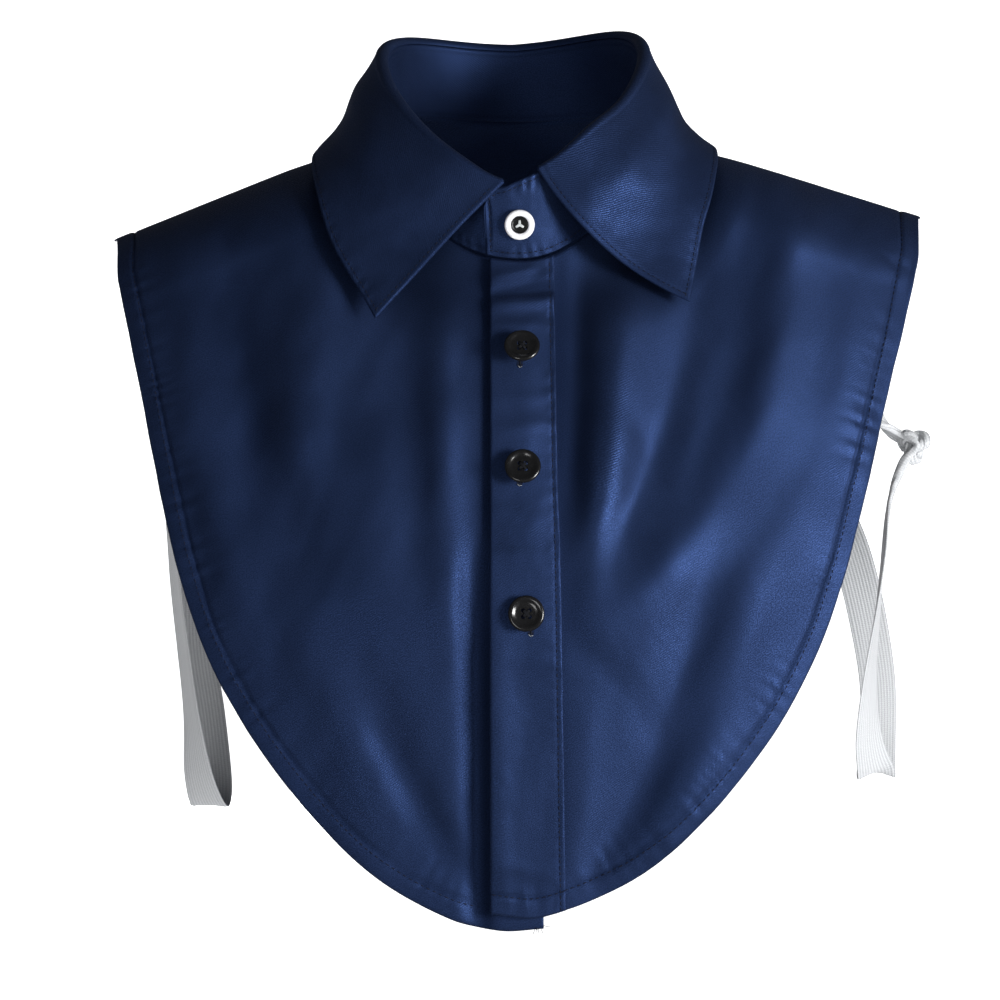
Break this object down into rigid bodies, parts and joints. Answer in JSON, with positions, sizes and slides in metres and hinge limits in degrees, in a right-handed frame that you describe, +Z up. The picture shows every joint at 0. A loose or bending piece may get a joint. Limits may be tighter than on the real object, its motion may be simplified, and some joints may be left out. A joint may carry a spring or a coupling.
{
  "type": "detachable collar",
  "caption": "Pointed shirt collar on a bib that ends below the chest, front and back, with a buttoned centre placket and elastic side straps, in its worn form.",
  "frame": {"origin": "centre of the neckline seam ring where the collar sits round the neck, the mount neck_seat", "axes": "+X to the wearer's left, -Y to the front, +Z up along the wearer's height"},
  "size_m": [0.3705, 0.2, 0.4057],
  "materials": {
    "navy_satin": "satin weave with a soft sheen",
    "white_elastic": "knitted elastic, matt",
    "black_plastic": "polished",
    "white_plastic": "polished",
    "dark_thread": "matt",
    "grey_thread": "matt"
  },
  "bodies": {
    "root": {"front_bib_left": "navy_satin", "front_bib_right": "navy_satin", "back_bib": "navy_satin", "placket_strip": "navy_satin", "collar_stand": "navy_satin", "collar_leaf": "navy_satin", "placket_button_1": "black_plastic", "placket_button_1_thread": "dark_thread", "placket_button_2": "black_plastic", "placket_button_2_thread": "dark_thread", "placket_button_3": "black_plastic", "placket_button_3_thread": "dark_thread", "collar_button_rim": "white_plastic", "collar_button_centre": "black_plastic", "collar_button_thread": "grey_thread", "side_strap_right": "white_elastic", "side_strap_left": "white_elastic"}
  },
  "joints": []
}
